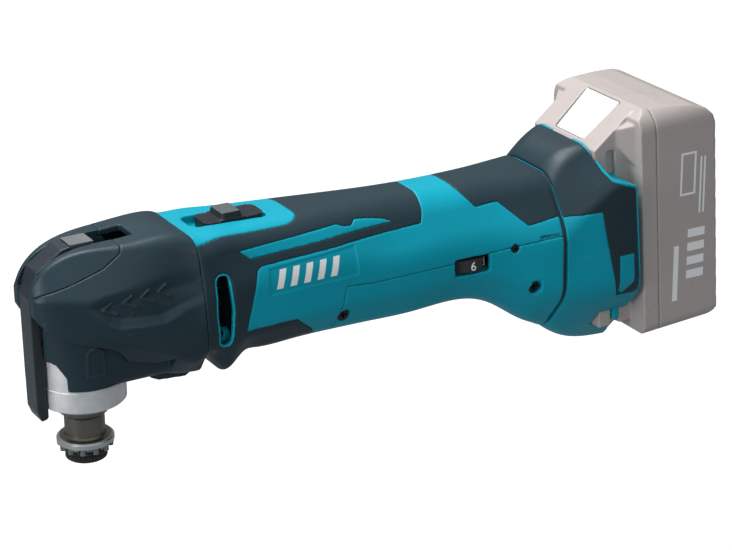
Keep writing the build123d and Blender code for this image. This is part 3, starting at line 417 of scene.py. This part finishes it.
def chevrons(places, normals):
    height = np.zeros(len(places))
    for tip_x, tip_z in CHEVRON_TIPS:
        line = [(tip_x + 3.6, tip_z + 2.5), (tip_x, tip_z), (tip_x + 5.4, tip_z - 2.7)]
        near = line_distance(places[:, [0, 2]], line)
        inner = outline_depth(places[:, [0, 2]], [line[0], line[1], line[2]])
        height += 0.75 * (1 - ramp(near, 0.35, 1.0)) - 0.35 * ramp(inner, 0.0, 1.2)
    return height * facing_out(places, normals)


def badge_arch(centre_x, base_z, half_width, height):
    """Outline of a plain arched pad, seen from the side."""
    arc = [math.pi * i / 12 for i in range(13)]
    top_z = base_z + height - half_width
    return ([(centre_x - half_width, base_z), (centre_x + half_width, base_z)]
            + [(centre_x + half_width * math.cos(a), top_z + half_width * math.sin(a)) for a in arc])


refined("head_cover", 0.45, 5, [grip_recess, chevrons])
refined("head_skirt", 0.45, 3, [side_step(badge_arch(-1.5, 39.5, 4.6, 15), -0.5, 0.0, 0.6),
                                side_step(badge_arch(-1.5, 40.7, 3.5, 12.7), 0.35, 0.0, 0.5)])
refined("lever_bracket", 0.4, 3)
refined("lever", 0.35, 3, [side_groove([(-18.6, 84), (-18.4, 64), (-17.6, 42)], 0.45, 0.7)])

KNURL_COUNT, KNURL_TURN = 40, 2.4        # grooves round the bolt head, radians of twist per millimetre
BOLT_HEAD_R, BOLT_HEAD_MIDDLE, KNURL_DEPTH = 9.6, -4.5, 0.45


def crossed_knurl(places, normals):
    radius = np.hypot(places[:, 0], places[:, 1])
    angle = np.arctan2(places[:, 1], places[:, 0])
    twist = (places[:, 2] - BOLT_HEAD_MIDDLE) * KNURL_TURN
    cut = np.maximum(np.cos(KNURL_COUNT * angle + twist), np.cos(KNURL_COUNT * angle - twist))
    side = ramp(radius, 8.9, 9.2) * ramp(places[:, 2], -6.9, -6.3) * (1 - ramp(places[:, 2], -2.7, -2.1))
    upright = 1 - ramp(np.abs(normals[:, 2]), 0.7, 0.95)
    return side * ((BOLT_HEAD_R - radius) - KNURL_DEPTH * ramp(cut, 0.2, 0.9)) * upright


refined("holder_bolt", 0.18, 1, [crossed_knurl])

# ================================================================ handle
SIDE_PANEL = [(79.5, 64.2), (126.5, 64.2), (126.8, 78.0), (80.5, 76.6)]
NOTCH = [(222.9, 62.4), (222.9, 64.9), (232.4, 64.9), (232.4, 62.4)]
upper_housing = refined("upper_housing", 0.5, 3, [
    side_step(SIDE_PANEL, 0.35, 0.0, 0.6),
    side_step(NOTCH, 1.6, -0.2, 0.5),
])
SCREW_POCKET = [(218, 35), (223.6, 35), (223.6, 43.5), (218, 43.5)]
VENT_POCKET = [(117.6, 44.6), (121.6, 44.6), (121.6, 48.2), (117.6, 48.2)]
refined("lower_cover", 0.5, 3, [side_step(SCREW_POCKET, 0.6, 0, 0.8),
                                side_step(VENT_POCKET, 0.6, 0, 0.8)])
refined("front_grip", 0.45, 3)
refined("rear_grip", 0.45, 3)
HOLDER_RIM = [(271.4, 81.5), (272.9, 64), (274.5, 44), (275.9, 28)]
refined("battery_holder", 0.5, 3, [side_groove(HOLDER_RIM, 0.5, 0.9)])
refined("holder_grip", 0.45, 3)
refined("pack_front_case", 0.55, 4)
pack_rear = refined("pack_rear_case", 0.6, 4)

# ================================================================ switch and speed wheel
SLIDER_TOP, THUMB_X, RIB_PITCH = 95.0, 74, 2.4


def slider_ribs(places, normals):
    """Finger ribs across the slider, before and behind its raised thumb piece."""
    wave = np.cos(places[:, 0] * 2 * math.pi / RIB_PITCH)
    zone = ramp(places[:, 2], SLIDER_TOP - 1.2, SLIDER_TOP - 0.3) * ramp(normals[:, 2], 0.4, 0.8)
    outside_thumb = ramp(np.abs(places[:, 0] - THUMB_X), 7.0, 7.8)
    return 0.35 * wave * zone * outside_thumb


def thumb_top(centres, normals):
    flat = (centres[:, 2] > 97.2) & (normals[:, 2] > 0.8)
    return flat & (np.abs(centres[:, 0] - THUMB_X) < 4.6) & (np.abs(centres[:, 1]) < 5.6)


painted(refined("switch_slider", 0.25, 2, [slider_ribs]), BAND, thumb_top)

DIAL_X, DIAL_Y, DIAL_R, DIAL_MIDDLE = 187.5, -19.3, 10.4, 56.0
NUMERAL_SIZE, NUMERAL_STEP = 4.3, 50.0    # height of a figure, degrees from one figure to the next
FIGURE_SHARE = 0.7                        # a figure's height as a share of its type size
LAST_FIGURE = 6


def dial_numeral(number):
    """A raised figure on the rim of the speed wheel; the last one faces out at rest."""
    letters = bpy.data.curves.new("figure", "FONT")
    letters.body = str(number)
    letters.size = NUMERAL_SIZE / FIGURE_SHARE
    letters.align_x = "CENTER"
    letters.extrude = 0.15
    flat = bpy.data.objects.new("figure", letters)
    bpy.context.scene.collection.objects.link(flat)
    bpy.context.view_layer.update()
    mesh = bpy.data.meshes.new_from_object(flat.evaluated_get(bpy.context.evaluated_depsgraph_get()))
    bpy.data.objects.remove(flat)
    turn = math.radians(-90 + NUMERAL_STEP * (LAST_FIGURE - number))
    for vertex in mesh.vertices:
        angle = turn + vertex.co.x / DIAL_R
        radius = DIAL_R + vertex.co.z
        vertex.co = ((DIAL_X + radius * math.cos(angle)) * MM, (DIAL_Y + radius * math.sin(angle)) * MM,
                     (DIAL_MIDDLE - NUMERAL_SIZE / 2 + vertex.co.y) * MM)
    new_object(f"dial_figure_{number}", mesh, "speed_dial", PRINT)


for figure in range(1, LAST_FIGURE + 1):
    dial_numeral(figure)

# ================================================================ plain printed marks
STRIPES = [[(x, 66.6), (x + 3.4, 66.6), (x + 6.0, 75.2), (x + 2.6, 75.2)]
           for x in (83.5, 90.5, 97.5, 104.5, 111.5)]
print_on("side_stripes_left", upper_housing, STRIPES, PRINT, -1)
print_on("side_stripes_right", upper_housing, STRIPES, PRINT, 1)


def bar(x, z, width, height):
    return [(x, z), (x + width, z), (x + width, z + height), (x, z + height)]


PACK_MARKS = ([bar(300.0, 71.5, 1.2, 22), bar(308.0, 71.5, 1.2, 22), bar(301.2, 71.5, 6.8, 1.2),
               bar(301.2, 92.3, 6.8, 1.2)]
              + [bar(311.6 + 2.2 * i, 61.0, 1.1, 29) for i in range(2)]
              + [bar(305.6, 27.5 + 7.2 * i, 10.2, 4.4) for i in range(4)]
              + [bar(297.6, 17.0, 3.0, 29)])
print_on("pack_marks_left", pack_rear, PACK_MARKS, PRINT, -1)

# ================================================================ stage, light and camera


def stage_floor():
    """A plane that is near white to the camera but throws little light back on the object."""
    mesh = bpy.data.meshes.new("floor")
    half, height = 6.0, -0.16
    corners = [(-half, -half, height), (half, -half, height), (half, half, height), (-half, half, height)]
    mesh.from_pydata(corners, [], [(0, 1, 2, 3)])
    floor = bpy.data.objects.new("floor", mesh)
    bpy.context.scene.collection.objects.link(floor)
    look = Look("floor_paper")
    paper = look.mix(look.noise(3, 2), (0.20, 0.21, 0.22), (0.22, 0.23, 0.24))
    look.join(paper, look.shader.inputs["Base Color"])
    look.shader.inputs["Roughness"].default_value = 0.9
    look.shader.inputs["Specular IOR Level"].default_value = 0.0
    look.shader.inputs["Emission Color"].default_value = (1, 1, 1, 1)
    seen = look.nodes.new("ShaderNodeLightPath").outputs["Is Camera Ray"]
    look.join(look.spread(seen, 0, 1, 0, 0.9), look.shader.inputs["Emission Strength"])
    dress(floor, look.material)


stage_floor()

AMBIENT = 0.42


def studio_world():
    """Even white to the camera, dimmer to the object, so that its own shading stays readable."""
    world = bpy.data.worlds.new("studio")
    bpy.context.scene.world = world
    world.use_nodes = True
    tree = world.node_tree
    background = tree.nodes["Background"]
    path = tree.nodes.new("ShaderNodeLightPath")
    strength = tree.nodes.new("ShaderNodeMapRange")
    strength.inputs["To Max"].default_value = 1.0
    tree.links.new(path.outputs["Is Camera Ray"], strength.inputs["Value"])
    tree.links.new(strength.outputs["Result"], background.inputs["Strength"])
    heading = tree.nodes.new("ShaderNodeTexCoord")
    split = tree.nodes.new("ShaderNodeSeparateXYZ")
    tree.links.new(heading.outputs["Generated"], split.inputs["Vector"])
    height = tree.nodes.new("ShaderNodeMapRange")
    height.inputs["From Min"].default_value = -0.2
    height.inputs["From Max"].default_value = 0.9
    height.inputs["To Min"].default_value = 0.12
    height.inputs["To Max"].default_value = 1.3
    tree.links.new(split.outputs["Z"], height.inputs["Value"])
    dim = tree.nodes.new("ShaderNodeMath")
    dim.operation = "MULTIPLY"
    dim.inputs[1].default_value = AMBIENT
    tree.links.new(height.outputs["Result"], dim.inputs[0])
    tree.links.new(dim.outputs["Value"], strength.inputs["To Min"])
    background.inputs["Color"].default_value = (1, 1, 1, 1)


studio_world()

CENTRE = Vector((0.148, 0.0, 0.055))


def softbox(name, place, size, power, colour=(1, 1, 1)):
    light = bpy.data.lights.new(name, "AREA")
    light.shape = "RECTANGLE"
    light.size, light.size_y = size
    light.energy = power
    light.color = colour
    obj = bpy.data.objects.new(name, light)
    obj.location = place
    obj.rotation_mode = "QUATERNION"
    obj.rotation_quaternion = (CENTRE - Vector(place)).to_track_quat("-Z", "Y")
    bpy.context.scene.collection.objects.link(obj)


softbox("key", (-0.15, 0.30, 1.25), (1.1, 0.6), 21)
softbox("side", (-1.5, -0.3, 0.45), (0.5, 0.9), 10)
softbox("fill", (-0.25, -1.5, 0.75), (1.2, 0.8), 4.5, (0.84, 0.95, 1.0))

bpy.context.scene.view_settings.view_transform = "Standard"
bpy.context.scene.view_settings.look = "None"

camera = bpy.data.objects.new("camera", bpy.data.cameras.new("camera"))
bpy.context.scene.collection.objects.link(camera)
CAMERA_PLACE = (-0.3785, -0.9352, 0.4833)
YAW, PITCH, ROLL = math.radians(29.3), math.radians(22.0), math.radians(-0.77)
forward = Vector((math.sin(YAW) * math.cos(PITCH), math.cos(YAW) * math.cos(PITCH), -math.sin(PITCH)))
level = Vector((math.cos(YAW), -math.sin(YAW), 0))
upright = level.cross(forward)
right = level * math.cos(ROLL) + upright * math.sin(ROLL)
top = upright * math.cos(ROLL) - level * math.sin(ROLL)
turn = Matrix((right, top, -forward)).transposed()
camera.matrix_world = Matrix.Translation(CAMERA_PLACE) @ turn.to_4x4()
camera.data.lens, camera.data.sensor_width = 120.7, 36
camera.data.clip_start, camera.data.clip_end = 0.01, 50
bpy.context.scene.camera = camera
